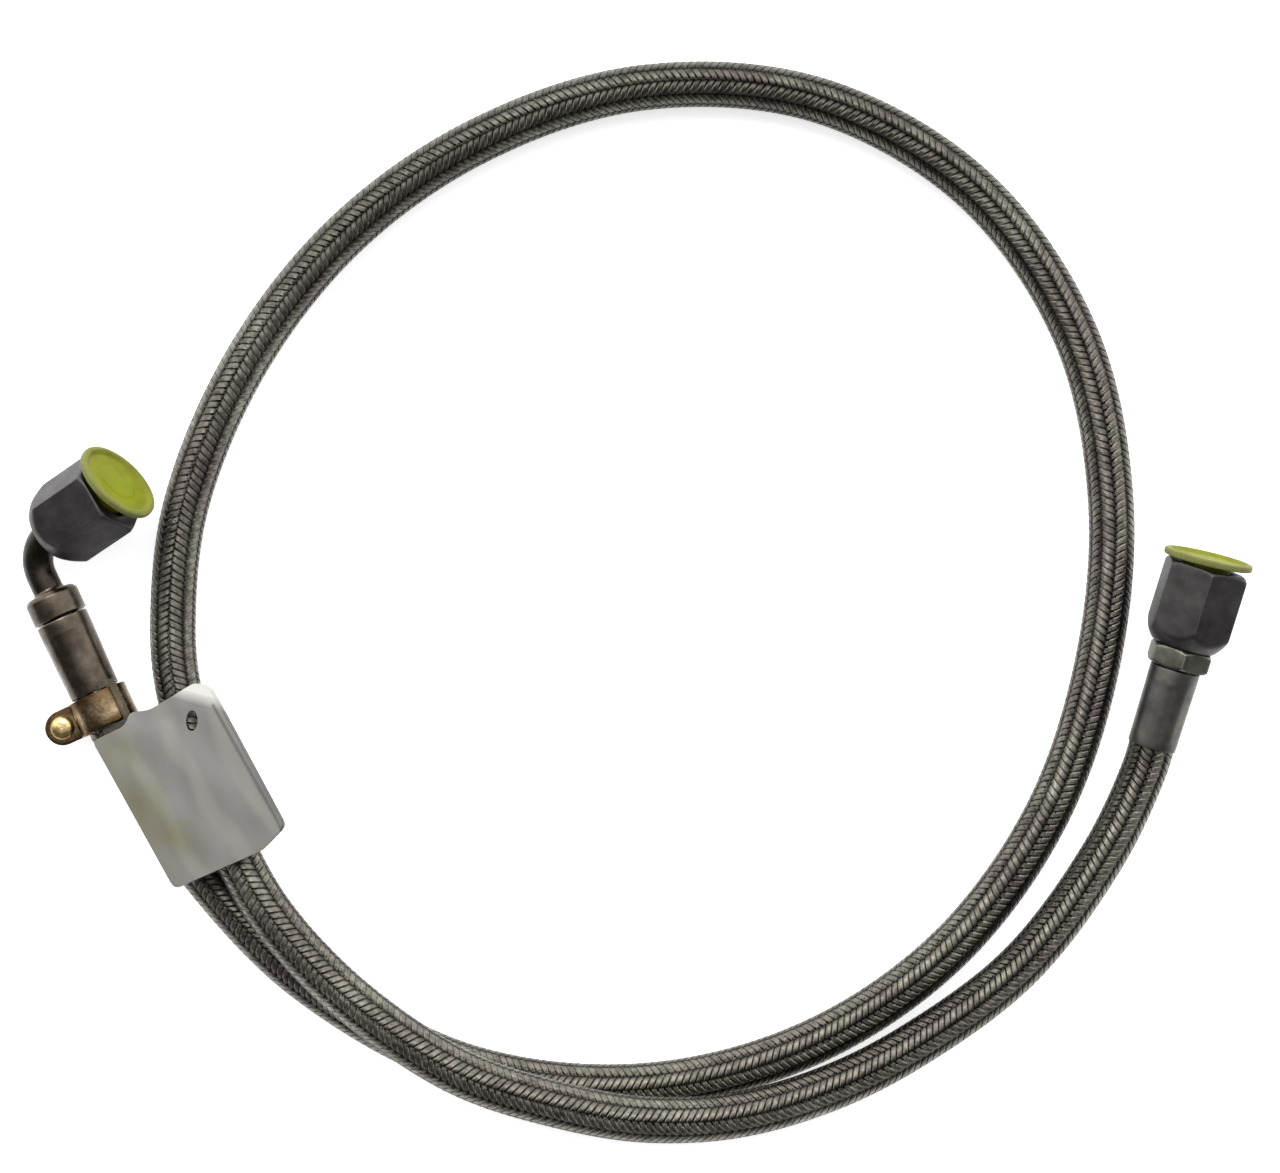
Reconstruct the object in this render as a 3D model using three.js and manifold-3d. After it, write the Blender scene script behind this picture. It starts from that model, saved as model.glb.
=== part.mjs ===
// Braided supply line: a stainless-braided hose lying in one and a half turns, with a 90 degree
// swivel elbow at one end and a straight swivel fitting at the other, a plastic plug in each
// swivel nut, and a clear label pouch hung on a brass band.
// Units are millimetres, +Z is up and the floor is z = 0.
import * as THREE from 'three';
import { mergeVertices } from 'three/addons/utils/BufferGeometryUtils.js';
import Module from 'manifold-3d';

const wasm = await Module();
wasm.setup();

// ---------------------------------------------------------------- driving dimensions
const HOSE_OUTER = 8.0;          // radius over the braid
const BRAID_INNER = 7.35;
const LINER_OUTER = 7.0;
const LINER_INNER = 6.4;
const HOSE_STEPS = 62;
const HOSE_SIDES = 10;
const GAP = 0.4;                 // clearance between pieces that touch
const ROUND = 20;                // facets around a turned piece

const FERRULE_BORE = 7.85;       // crimped sleeve, radius
const NECK_RADIUS = 6.6;         // groove of the insert under the ferrule's lip
const TAIL_RADIUS = 6.15;
const BARB_RADIUS = 6.4;
const TAIL_BORE = 4.5;
const CRIMPED_HOSE_INNER = 6.7;
const CRIMPED_HOSE_OUTER = 7.55;

const NUT_FLATS = 27;            // across flats
const NUT_LENGTH = 29;
const NUT_BACK_BORE = 6.2;
const NUT_THREAD_BORE = 9.3;
const NUT_SHOULDER = 5.5;        // depth of the inner shoulder from the nut's back
const NUT_BACK_RADIUS = 11.0;    // small end of the turned back
const NUT_BACK_TAPER = 7.0;

const TUBE_OUTER = 5.3;
const TUBE_INNER = 3.9;
const BEND_RADIUS = 12;
const BEND_LEAD = 6.7;           // straight tube between the collar and the bend
const BEND_TO_NUT = 0.2;         // straight tube between the bend and the nut's back

const FLANGE_RADIUS = 15.4;      // plug
const PLUG_PIVOT = 4;            // depth in the mouth of the point about which a plug leans
const ELBOW_PLUG = { lean: 10, lift: 2.8 };      // degrees, and distance off the nut's mouth
const STRAIGHT_PLUG = { lean: 3, lift: 1.6 };
const BAND_INNER = 9.8;          // brass band around the hose
const BAND_OUTER = 10.6;
const BAND_WIDTH = 12.2;
const SHEET = 0.5;               // thickness of the pouch's plastic

// ---------------------------------------------------------------- places in the frame
const ELBOW_END = new THREE.Vector3(-189.67, -8.25, 10.7);     // hose face of the elbow's ferrule
const ELBOW_AXIS = new THREE.Vector3(-0.4195, 0.9078, 0).normalize();
const ELBOW_NUT_AXIS = new THREE.Vector3(0.855, 0.519, 0.404).normalize();
const BEND_ANGLE = ELBOW_AXIS.angleTo(ELBOW_NUT_AXIS);
const STRAIGHT_END = new THREE.Vector3(179.3, -27.1, 9.4);     // hose face of the straight ferrule
const STRAIGHT_AXIS = new THREE.Vector3(0.268, 0.957, 0.151).normalize();
const POUCH_CENTRE = new THREE.Vector3(-155.2, -38.3, 23.6);
const POUCH_ACROSS = new THREE.Vector3(0.869, 0.494, -0.084).normalize();
const POUCH_ALONG = new THREE.Vector3(-0.494, 0.869, -0.134);  // towards the band

// The hose's centre line, from the elbow to the straight fitting.
const FLOOR = 8.05;
const HOSE_ROUTE = [
  along(ELBOW_END, ELBOW_AXIS, -GAP),
  along(ELBOW_END, ELBOW_AXIS, -14.5),
  [-167.3, -49.5, 9.2],
  [-149.0, -76.0, FLOOR],
  [-115.7, -109.4, FLOOR],
  [-60.8, -139.3, FLOOR],
  [0.5, -146.3, FLOOR],
  [59.0, -131.8, FLOOR],
  [107.9, -99.0, FLOOR],
  [142.1, -52.7, FLOOR],
  [160.4, 0.8, FLOOR],
  [165.3, 58.1, FLOOR],
  [152.8, 117.0, FLOOR],
  [117.1, 168.0, FLOOR],
  [62.4, 198.9, FLOOR],
  [0.5, 203.0, FLOOR],
  [-56.1, 184.5, FLOOR],
  [-102.5, 151.8, FLOOR],
  [-136.7, 108.3, FLOOR],
  [-158.4, 57.1, FLOOR],
  [-163.0, 14.5, 8.2],
  [-160.6, -8.0, 9.8],
  [-154.1, -27.2, 12.2],
  [-144.1, -54.4, 16.4],
  [-130.0, -80.5, 20.4],
  [-110.5, -103.3, 22.8],
  [-86.9, -123.0, 24.5],
  [-60.0, -139.4, 25.0],
  [-30.9, -149.1, 24.6],
  [0.5, -155.2, 22.5],
  [32.8, -154.6, 19.0],
  [63.9, -146.6, 16.0],
  [93.8, -132.6, 12.6],
  [133.4, -104.0, 9.4],
  [163.0, -64.8, FLOOR],
  along(STRAIGHT_END, STRAIGHT_AXIS, -9),
  along(STRAIGHT_END, STRAIGHT_AXIS, -GAP),
];

// ---------------------------------------------------------------- materials
const braidSteel = metal(0x64625a, 0.45);
const linerPlastic = plastic(0xd8d4c8, 0.5);
const darkSteel = metal(0x3e3c3e, 0.55);
const warmSteel = metal(0x73695c, 0.45);
const collarSteel = metal(0x66645c, 0.5);
const sealRubber = plastic(0x161616, 0.7);
const plugPlastic = plastic(0x9ba519, 0.45);
const brass = metal(0xa67a3c, 0.35);
const clearPlastic = plastic(0xc8c8c0, 0.2);
const cardPaper = plastic(0x96948e, 0.8);

// ---------------------------------------------------------------- helpers
function along(point, axis, distance) {
  return point.clone().addScaledVector(axis, distance).toArray();
}

function metal(color, roughness) {
  return new THREE.MeshStandardMaterial({ color, roughness, metalness: 1 });
}

function plastic(color, roughness) {
  return new THREE.MeshStandardMaterial({ color, roughness, metalness: 0 });
}

function piece(name, geometry, material) {
  const mesh = new THREE.Mesh(geometry, material);
  mesh.name = name;
  return mesh;
}

function solidOf(geometry) {
  const bare = geometry.clone();
  bare.deleteAttribute('normal');
  bare.deleteAttribute('uv');
  const welded = mergeVertices(bare, 1e-4);
  return new wasm.Manifold(new wasm.Mesh({
    numProp: 3,
    vertProperties: Float32Array.from(welded.attributes.position.array),
    triVerts: Uint32Array.from(welded.index.array),
  }));
}

function geometryOf(solid) {
  const mesh = solid.getMesh();
  const geometry = new THREE.BufferGeometry();
  geometry.setAttribute('position', new THREE.BufferAttribute(mesh.vertProperties, 3));
  geometry.setIndex(new THREE.BufferAttribute(mesh.triVerts, 1));
  geometry.computeVertexNormals();
  return geometry;
}

// A turned solid about local Z from [radius, height] points listed anticlockwise in that plane.
function turned(profile, facets = ROUND) {
  const points = profile.map(([radius, height]) => new THREE.Vector2(radius, height));
  if (profile[0][0] > 0) points.push(points[0].clone());
  return new THREE.LatheGeometry(points, facets).rotateX(Math.PI / 2);
}

// A six-sided bar along local Z from height 0. A flat or a corner looks along local Y.
function hexBar(acrossFlats, length, flatUp) {
  const corner = acrossFlats / Math.sqrt(3);
  const bar = new THREE.CylinderGeometry(corner, corner, length, 6).rotateX(Math.PI / 2);
  bar.translate(0, 0, length / 2);
  return flatUp ? bar.rotateZ(Math.PI / 6) : bar;
}

// A frame whose local Z is the given axis and whose local X is as near as it can be to `side`.
function frameAlong(origin, axis, side) {
  const group = new THREE.Group();
  const z = axis.clone().normalize();
  const y = new THREE.Vector3().crossVectors(z, side).normalize();
  const x = new THREE.Vector3().crossVectors(y, z);
  group.quaternion.setFromRotationMatrix(new THREE.Matrix4().makeBasis(x, y, z));
  group.position.copy(origin);
  return group;
}

function ringShape(outer, inner, sides) {
  const shape = new THREE.Shape(circlePoints(outer, sides));
  shape.holes.push(new THREE.Path(circlePoints(inner, sides)));
  return shape;
}

function circlePoints(radius, sides) {
  return Array.from({ length: sides }, (_, i) => {
    const angle = (i / sides) * 2 * Math.PI;
    return new THREE.Vector2(radius * Math.cos(angle), radius * Math.sin(angle));
  });
}

function roundedOutline(corners, radius) {
  const shape = new THREE.Shape();
  corners.forEach((corner, i) => {
    const here = new THREE.Vector2(...corner);
    const before = new THREE.Vector2(...corners.at(i - 1)).sub(here).setLength(radius).add(here);
    const after = new THREE.Vector2(...corners[(i + 1) % corners.length]).sub(here);
    after.setLength(radius).add(here);
    if (i === 0) shape.moveTo(before.x, before.y);
    else shape.lineTo(before.x, before.y);
    shape.quadraticCurveTo(here.x, here.y, after.x, after.y);
  });
  shape.closePath();
  return shape;
}

function plate(shape, bottom, thickness, curveSegments = 4) {
  const options = { depth: thickness, bevelEnabled: false, curveSegments };
  return new THREE.ExtrudeGeometry(shape, options).translate(0, 0, bottom);
}

// ---------------------------------------------------------------- hose
function hoseTube(outer, inner) {
  const route = HOSE_ROUTE.map((point) => new THREE.Vector3(...point));
  return new THREE.ExtrudeGeometry(ringShape(outer, inner, HOSE_SIDES), {
    steps: HOSE_STEPS,
    extrudePath: new THREE.CatmullRomCurve3(route, false, 'centripetal'),
    bevelEnabled: false,
  });
}

// ---------------------------------------------------------------- pieces both ends share
// The sleeve is crimped over the hose and hooks into the insert's groove with its lip.
function ferrule(length, hoseEndRadius, collarEndRadius) {
  const lip = length - 2.2;
  return turned([
    [FERRULE_BORE, 0],
    [hoseEndRadius - 0.3, 0],
    [hoseEndRadius, 0.5],
    [collarEndRadius, length - 5],
    [collarEndRadius, length - 0.5],
    [collarEndRadius - 0.5, length],
    [NECK_RADIUS + GAP, length],
    [NECK_RADIUS + GAP, lip],
    [FERRULE_BORE, lip],
  ]);
}

function crimpedHose(length) {
  return turned([
    [CRIMPED_HOSE_INNER, 0],
    [CRIMPED_HOSE_OUTER, 0],
    [CRIMPED_HOSE_OUTER, length - 2.2 - GAP],
    [CRIMPED_HOSE_INNER, length - 2.2 - GAP],
  ]);
}

// Outer half of the barbed tail and its neck, from the hose end up to the collar's face.
function tailProfile(ferruleLength) {
  const profile = [[TAIL_BORE, 1.5], [TAIL_RADIUS - 0.5, 1.5]];
  const barbs = 3;
  const pitch = (ferruleLength - 6) / barbs;
  for (let i = 0; i < barbs; i += 1) {
    profile.push([TAIL_RADIUS - 0.3, 2 + i * pitch]);
    profile.push([BARB_RADIUS, 2 + (i + 0.8) * pitch]);
  }
  profile.push([TAIL_RADIUS, ferruleLength - 3]);
  profile.push([NECK_RADIUS, ferruleLength - 2.2]);
  return profile;
}

function swivelNut(flatUp) {
  const reach = NUT_FLATS / Math.sqrt(3) + 0.6;
  const envelope = turned([
    [0, 0],
    [NUT_BACK_RADIUS, 0],
    [reach, NUT_BACK_TAPER],
    [reach, NUT_LENGTH - 1.4],
    [reach - 2, NUT_LENGTH],
    [0, NUT_LENGTH],
  ], 36);
  const bore = turned([
    [0, -1],
    [NUT_BACK_BORE, -1],
    [NUT_BACK_BORE, NUT_SHOULDER],
    [NUT_THREAD_BORE, NUT_SHOULDER],
    [NUT_THREAD_BORE, NUT_LENGTH - 1],
    [NUT_THREAD_BORE + 2, NUT_LENGTH + 1],
    [0, NUT_LENGTH + 1],
  ]);
  const bar = solidOf(hexBar(NUT_FLATS, NUT_LENGTH, flatUp));
  return geometryOf(bar.intersect(solidOf(envelope)).subtract(solidOf(bore)));
}

// The cone seat inside the nut, in the nut's own heights.
const NIPPLE_BACK = NUT_SHOULDER + GAP;
const NIPPLE_SOCKET = 11;
function nipple(throughBore) {
  return turned([
    [TUBE_OUTER + 0.3, NIPPLE_BACK],
    [8.9, NIPPLE_BACK],
    [8.9, 12.4],
    [6.9, 12.4],
    [6.9, 14.7],
    [7.6, 14.7],
    [6.0, 17],
    [throughBore, 17],
    [throughBore, NIPPLE_SOCKET],
    [TUBE_OUTER + 0.3, NIPPLE_SOCKET],
  ]);
}

function sealRing() {
  return new THREE.TorusGeometry(8.0, 0.75, 8, ROUND).translate(0, 0, 13.55);
}

// A wide flange on a hollow tapered stem; height 0 is the flange's underside.
function plug() {
  return turned([
    [0, -1.2],
    [7.2, -1.2],
    [6.3, -9.4],
    [7.3, -9.4],
    [8.4, -1.0],
    [8.5, 0],
    [FLANGE_RADIUS - 0.3, 0],
    [FLANGE_RADIUS, 0.4],
    [FLANGE_RADIUS, 2.0],
    [FLANGE_RADIUS - 0.6, 2.4],
    [13.6, 2.4],
    [12.4, 1.2],
    [0, 1.0],
  ]);
}

// The plug isn't pushed fully home: it stands off the mouth by `lift` and leans by `lean`.
function looseFit(plugPiece, { lean, lift }) {
  const holder = new THREE.Group();
  holder.position.z = NUT_LENGTH - PLUG_PIVOT;
  holder.rotation.y = -THREE.MathUtils.degToRad(lean);
  plugPiece.position.z = PLUG_PIVOT + lift;
  holder.add(plugPiece);
  return holder;
}

function nutEnd(prefix, flatUp, throughBore, plugFit) {
  const nut = new THREE.Group();
  nut.add(
    piece(`${prefix}_nut`, swivelNut(flatUp), darkSteel),
    piece(`${prefix}_nipple`, nipple(throughBore), collarSteel),
    piece(`${prefix}_o_ring`, sealRing(), sealRubber),
    looseFit(piece(`${prefix}_plug`, plug(), plugPlastic), plugFit),
  );
  return nut;
}

// ---------------------------------------------------------------- elbow end
const ELBOW_FERRULE = 27.9;
const ELBOW_FERRULE_RADII = [8.7, 9.2];          // at the hose and at the collar
const ELBOW_COLLAR = 28.6;       // start of the collar
const ELBOW_COLLAR_END = 37.9;
const ELBOW_COLLAR_RADIUS = 9.5;

function elbowInsert() {
  return turned([
    ...tailProfile(ELBOW_FERRULE),
    [NECK_RADIUS, ELBOW_COLLAR],
    [ELBOW_COLLAR_RADIUS - 0.4, ELBOW_COLLAR],
    [ELBOW_COLLAR_RADIUS, ELBOW_COLLAR + 0.4],
    [ELBOW_COLLAR_RADIUS, ELBOW_COLLAR_END - 1.5],
    [ELBOW_COLLAR_RADIUS - 1.5, ELBOW_COLLAR_END],
    [TUBE_OUTER + 0.3, ELBOW_COLLAR_END],
    [TUBE_OUTER + 0.3, ELBOW_COLLAR_END - 6],
    [TAIL_BORE, ELBOW_COLLAR_END - 6],
  ]);
}

// The tube's centre line in the local XZ plane: straight out of the collar, round the bend, and
// straight on into the nut.
const BEND_START = ELBOW_COLLAR_END + BEND_LEAD;
const NUT_DIRECTION = new THREE.Vector3(Math.sin(BEND_ANGLE), 0, Math.cos(BEND_ANGLE));

function bendPoint(angle) {
  const x = BEND_RADIUS * (1 - Math.cos(angle));
  return new THREE.Vector3(x, 0, BEND_START + BEND_RADIUS * Math.sin(angle));
}

function elbowTube() {
  const stations = [
    new THREE.Vector3(0, 0, ELBOW_COLLAR_END - 6 + GAP),
    new THREE.Vector3(0, 0, BEND_START),
  ];
  const bendSteps = 9;
  for (let i = 1; i <= bendSteps; i += 1) stations.push(bendPoint((i / bendSteps) * BEND_ANGLE));
  const run = BEND_TO_NUT + NIPPLE_SOCKET - 0.3;
  stations.push(bendPoint(BEND_ANGLE).addScaledVector(NUT_DIRECTION, run));
  return sweep(ringShape(TUBE_OUTER, TUBE_INNER, 12), stations);
}

function sweep(shape, stations) {
  const path = new THREE.CurvePath();
  for (let i = 1; i < stations.length; i += 1) {
    path.add(new THREE.LineCurve3(stations[i - 1], stations[i]));
  }
  return new THREE.ExtrudeGeometry(shape, { steps: 26, extrudePath: path, bevelEnabled: false });
}

function elbowEnd() {
  const end = frameAlong(ELBOW_END, ELBOW_AXIS, ELBOW_NUT_AXIS);
  end.add(
    piece('elbow_ferrule', ferrule(ELBOW_FERRULE, ...ELBOW_FERRULE_RADII), warmSteel),
    piece('elbow_hose_end', crimpedHose(ELBOW_FERRULE), braidSteel),
    piece('elbow_insert', elbowInsert(), warmSteel),
    piece('elbow_tube', elbowTube(), warmSteel),
  );
  const nut = nutEnd('elbow', true, TUBE_INNER, ELBOW_PLUG);
  nut.rotation.y = BEND_ANGLE;
  nut.position.copy(bendPoint(BEND_ANGLE)).addScaledVector(NUT_DIRECTION, BEND_TO_NUT);
  end.add(nut);
  return end;
}

// ---------------------------------------------------------------- straight end
const STRAIGHT_FERRULE = 28.6;
const STRAIGHT_FERRULE_RADII = [8.4, 8.7];
const STRAIGHT_COLLAR = 29.3;
const STRAIGHT_COLLAR_LENGTH = 6.8;
const STRAIGHT_COLLAR_FLATS = 20;
const STRAIGHT_NUT = STRAIGHT_COLLAR + STRAIGHT_COLLAR_LENGTH + GAP;

// One turned piece with a six-sided collar; the nut rides on its spigot.
function straightInsert() {
  const collarEnd = STRAIGHT_COLLAR + STRAIGHT_COLLAR_LENGTH;
  const core = turned([
    ...tailProfile(STRAIGHT_FERRULE),
    [NECK_RADIUS, STRAIGHT_COLLAR + 1],
    [TUBE_OUTER, STRAIGHT_COLLAR + 1],
    [TUBE_OUTER, STRAIGHT_NUT + NIPPLE_SOCKET - 0.3],
    [TAIL_BORE, STRAIGHT_NUT + NIPPLE_SOCKET - 0.3],
  ]);
  const hex = hexBar(STRAIGHT_COLLAR_FLATS, STRAIGHT_COLLAR_LENGTH, false).translate(0, 0, STRAIGHT_COLLAR);
  const chamfer = turned([
    [0, STRAIGHT_COLLAR],
    [10.4, STRAIGHT_COLLAR],
    [11.6, STRAIGHT_COLLAR + 1],
    [11.6, collarEnd - 1],
    [10.4, collarEnd],
    [0, collarEnd],
  ]);
  const bore = turned([
    [0, STRAIGHT_COLLAR - 1],
    [TAIL_BORE + 0.01, STRAIGHT_COLLAR - 1],
    [TAIL_BORE + 0.01, collarEnd + 1],
    [0, collarEnd + 1],
  ]);
  const collar = solidOf(hex).intersect(solidOf(chamfer)).subtract(solidOf(bore));
  return geometryOf(solidOf(core).add(collar));
}

function straightEnd() {
  const end = frameAlong(STRAIGHT_END, STRAIGHT_AXIS, new THREE.Vector3(0.963, -0.27, 0));
  end.add(
    piece('straight_ferrule', ferrule(STRAIGHT_FERRULE, ...STRAIGHT_FERRULE_RADII), darkSteel),
    piece('straight_hose_end', crimpedHose(STRAIGHT_FERRULE), braidSteel),
    piece('straight_insert', straightInsert(), collarSteel),
  );
  const nut = nutEnd('straight', false, TAIL_BORE, STRAIGHT_PLUG);
  nut.position.z = STRAIGHT_NUT;
  end.add(nut);
  return end;
}

// ---------------------------------------------------------------- brass band
const BAND_START = 0.6;          // from the ferrule's face, along the hose
const TAB_END = -21.6;
const TAB_RADIUS = BAND_WIDTH / 2;
const RIVET_X = TAB_END + TAB_RADIUS;

// A strip bent into a ring, its two ends lying together as a riveted tab along local -X.
function bandGeometry() {
  const slit = 0.2;
  const tabFace = 1.0;
  const outerAngle = Math.PI - Math.asin(tabFace / BAND_OUTER);
  const innerAngle = Math.PI - Math.asin(slit / BAND_INNER);
  const profile = new THREE.Shape();
  profile.moveTo(TAB_END, tabFace);
  profile.absarc(0, 0, BAND_OUTER, outerAngle, -outerAngle, true);
  profile.lineTo(TAB_END, -tabFace);
  profile.lineTo(TAB_END, -slit);
  profile.absarc(0, 0, BAND_INNER, -innerAngle, innerAngle, false);
  profile.lineTo(TAB_END, slit);
  profile.closePath();
  const strip = plate(profile, BAND_START, BAND_WIDTH, 22);

  const plan = new THREE.Shape();
  plan.moveTo(RIVET_X, -TAB_RADIUS);
  plan.lineTo(BAND_OUTER + 1, -TAB_RADIUS);
  plan.lineTo(BAND_OUTER + 1, TAB_RADIUS);
  plan.lineTo(RIVET_X, TAB_RADIUS);
  plan.absarc(RIVET_X, 0, TAB_RADIUS, Math.PI / 2, 1.5 * Math.PI, false);
  const rounded = plate(plan, -BAND_OUTER - 1, 2 * BAND_OUTER + 2, 12).rotateX(Math.PI / 2);
  rounded.translate(0, 0, BAND_START + TAB_RADIUS);

  const hole = turned([[0, -3], [2.4, -3], [2.4, 3], [0, 3]], 16).rotateX(Math.PI / 2);
  hole.translate(RIVET_X, 0, BAND_START + TAB_RADIUS);
  return geometryOf(solidOf(strip).intersect(solidOf(rounded)).subtract(solidOf(hole)));
}

function rivetGeometry() {
  const head = 1.0 + 0.3;
  const rivet = turned([
    [0, -head - 1.0],
    [3.0, -head - 1.0],
    [3.6, -head],
    [2.0, -head],
    [2.0, head],
    [4.2, head],
    [3.9, head + 0.8],
    [2.4, head + 1.6],
    [0, head + 1.9],
  ], 16).rotateX(-Math.PI / 2);
  return rivet.translate(RIVET_X, 0, BAND_START + TAB_RADIUS);
}

// The strap is a flat plastic tongue on top of the hose; the band passes down through its slot.
function strapGeometry() {
  const height = HOSE_OUTER + GAP;
  const outline = new THREE.Shape([
    [-1.5, 0.5], [3.15, 0.5], [3.15, -1.6], [9.3, -1.6], [9.3, 19.1], [-1.5, 19.1],
  ].map(([x, z]) => new THREE.Vector2(x, -z)));
  const near = BAND_START - GAP;
  const far = BAND_START + BAND_WIDTH + GAP;
  const slot = [[3.6, far], [6.9, far], [6.9, near], [3.6, near]];
  outline.holes.push(new THREE.Path(slot.map(([x, z]) => new THREE.Vector2(x, -z))));
  return plate(outline, height, SHEET).rotateX(-Math.PI / 2);
}

function bandEnd() {
  const up = new THREE.Vector3(0, 0, 1);
  const hoseward = ELBOW_AXIS.clone().negate();
  const end = frameAlong(ELBOW_END, hoseward, new THREE.Vector3().crossVectors(up, hoseward));
  end.add(
    piece('clip_band', bandGeometry(), brass),
    piece('clip_rivet', rivetGeometry(), brass),
    piece('tag_strap', strapGeometry(), clearPlastic),
  );
  return end;
}

// ---------------------------------------------------------------- label pouch
const POUCH_OUTLINE = [
  [-22.0, 28.0],
  [-9.5, 27.2],
  [-6.2, 30.6],
  [0.0, 27.8],
  [18.6, 28.4],
  [22.8, 24.4],
  [22.0, -30.6],
  [10.4, -34.0],
  [-21.8, -30.6],
];
const CARD_OUTLINE = [[-20.4, 20], [19.4, 10], [19.4, -29], [-20.4, -29]];
const HOLE_CENTRE = [11.1, 17.2];
const HOLE_RADII = [2.0, 3.6];
const HOLE_TURN = THREE.MathUtils.degToRad(-30);

function pouchSheet(outline, bottom) {
  const shape = roundedOutline(outline, 1.6);
  const hole = new THREE.Path();
  hole.absellipse(...HOLE_CENTRE, ...HOLE_RADII, 0, 2 * Math.PI, false, HOLE_TURN);
  shape.holes.push(hole);
  return plate(shape, bottom, SHEET, 3);
}

function pouch() {
  const end = frameAlong(
    POUCH_CENTRE,
    new THREE.Vector3().crossVectors(POUCH_ACROSS, POUCH_ALONG),
    POUCH_ACROSS,
  );
  const front = POUCH_OUTLINE.map(([x, y]) => [x > 20 ? x - 1 : x, y]);
  const card = roundedOutline(CARD_OUTLINE, 1);
  end.add(
    piece('pouch_back', pouchSheet(POUCH_OUTLINE, -SHEET / 2), clearPlastic),
    piece('label_card', plate(card, SHEET / 2 + 0.3, 0.4, 3), cardPaper),
    piece('pouch_front', pouchSheet(front, SHEET / 2 + 1.0), clearPlastic),
  );
  return end;
}

// ---------------------------------------------------------------- assembly
const supplyLine = new THREE.Group();
supplyLine.name = 'braided_supply_line';
supplyLine.add(
  piece('hose_braid', hoseTube(HOSE_OUTER, BRAID_INNER), braidSteel),
  piece('hose_liner', hoseTube(LINER_OUTER, LINER_INNER), linerPlastic),
  elbowEnd(),
  straightEnd(),
  bandEnd(),
  pouch(),
);

export default supplyLine;
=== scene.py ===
"""Looks of the braided supply line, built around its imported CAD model.

Lengths are metres in the model's frame. Turned pieces are drawn in millimetres in the frame of
their own end, and a placement matrix brings them into the model's frame.
"""

import math

import bpy
import numpy as np
from mathutils import Matrix, Vector


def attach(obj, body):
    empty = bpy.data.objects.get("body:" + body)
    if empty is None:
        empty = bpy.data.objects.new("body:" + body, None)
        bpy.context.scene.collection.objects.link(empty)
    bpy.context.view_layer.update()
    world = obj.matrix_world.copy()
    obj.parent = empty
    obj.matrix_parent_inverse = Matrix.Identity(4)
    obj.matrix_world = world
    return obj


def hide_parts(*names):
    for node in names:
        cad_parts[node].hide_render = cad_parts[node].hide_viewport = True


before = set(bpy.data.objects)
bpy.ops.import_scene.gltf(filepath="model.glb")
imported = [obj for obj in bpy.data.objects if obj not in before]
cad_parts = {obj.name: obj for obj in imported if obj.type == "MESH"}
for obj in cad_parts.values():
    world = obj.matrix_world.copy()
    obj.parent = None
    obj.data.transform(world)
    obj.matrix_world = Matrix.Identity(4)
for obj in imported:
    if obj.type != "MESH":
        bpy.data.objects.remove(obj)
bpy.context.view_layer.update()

MM = 0.001
TAU = 2 * math.pi

# ---------------------------------------------------------------- driving dimensions, mm
BRAID_MIDDLE = 7.55  # radius on which the carriers undulate
BRAID_WAVE = 0.36
BRAID_CROWN = 0.08
LINER_OUTER = 7.1
LINER_INNER = 6.4
CARRIERS = 10  # each way
BRAID_LAY = 25.0
BRAID_STEP = 0.63
CARRIER_WIDTH = 2.3
WIRES = 6
FERRULE_BORE = 7.85
FERRULE_LIP = 2.2  # length of the part that hooks into the insert's groove
NECK_RADIUS = 6.6
TAIL_BORE = 4.5
GAP = 0.4
COLLAR_SOCKET = 6.0  # depth of the tube in the elbow's collar
NUT_FLATS = 27.0
NUT_LENGTH = 29.0
NUT_BACK_BORE = 6.2
NUT_THREAD_BORE = 9.3
NUT_SHOULDER = 5.5
NUT_BACK_RADIUS = 11.0
NUT_BACK_TAPER = 7.0
THREAD_PITCH = 1.8
TUBE_OUTER = 5.3
TUBE_INNER = 3.9
BEND_RADIUS = 12.0
BEND_LEAD = 6.7
BEND_TO_NUT = 0.2
ELBOW_FERRULE = 27.9
ELBOW_FERRULE_RADII = (8.7, 9.2)  # at the hose and at the collar
ELBOW_COLLAR = 28.6
ELBOW_COLLAR_END = 37.9
ELBOW_COLLAR_RADIUS = 9.5
STRAIGHT_FERRULE = 28.6
STRAIGHT_FERRULE_RADII = (8.4, 8.7)
STRAIGHT_COLLAR = 29.3
STRAIGHT_COLLAR_LENGTH = 6.8
STRAIGHT_COLLAR_FLATS = 20.0
STRAIGHT_NUT = STRAIGHT_COLLAR + STRAIGHT_COLLAR_LENGTH + GAP
NIPPLE_BACK = NUT_SHOULDER + GAP
NIPPLE_SOCKET = 11.0
FLANGE_RADIUS = 15.4
PLUG_PIVOT = 4.0  # depth in the nut's mouth of the point about which a plug leans
ELBOW_PLUG_FIT = (10, 2.8)  # lean in degrees and height off the mouth
STRAIGHT_PLUG_FIT = (3, 1.6)
BAND_INNER = 9.8
BAND_OUTER = 10.6
BAND_WIDTH = 12.2
BAND_START = 0.6
TAB_END = -21.6
RIVET_HEAD = 1.3  # height of the underside of the rivet's heads above the band's middle
SHEET = 0.5
CARD_LIFT = 0.3  # gap between the back sheet and the card
CARD_THICKNESS = 0.4
FRONT_LIFT = 1.0  # gap between the two sheets

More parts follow.
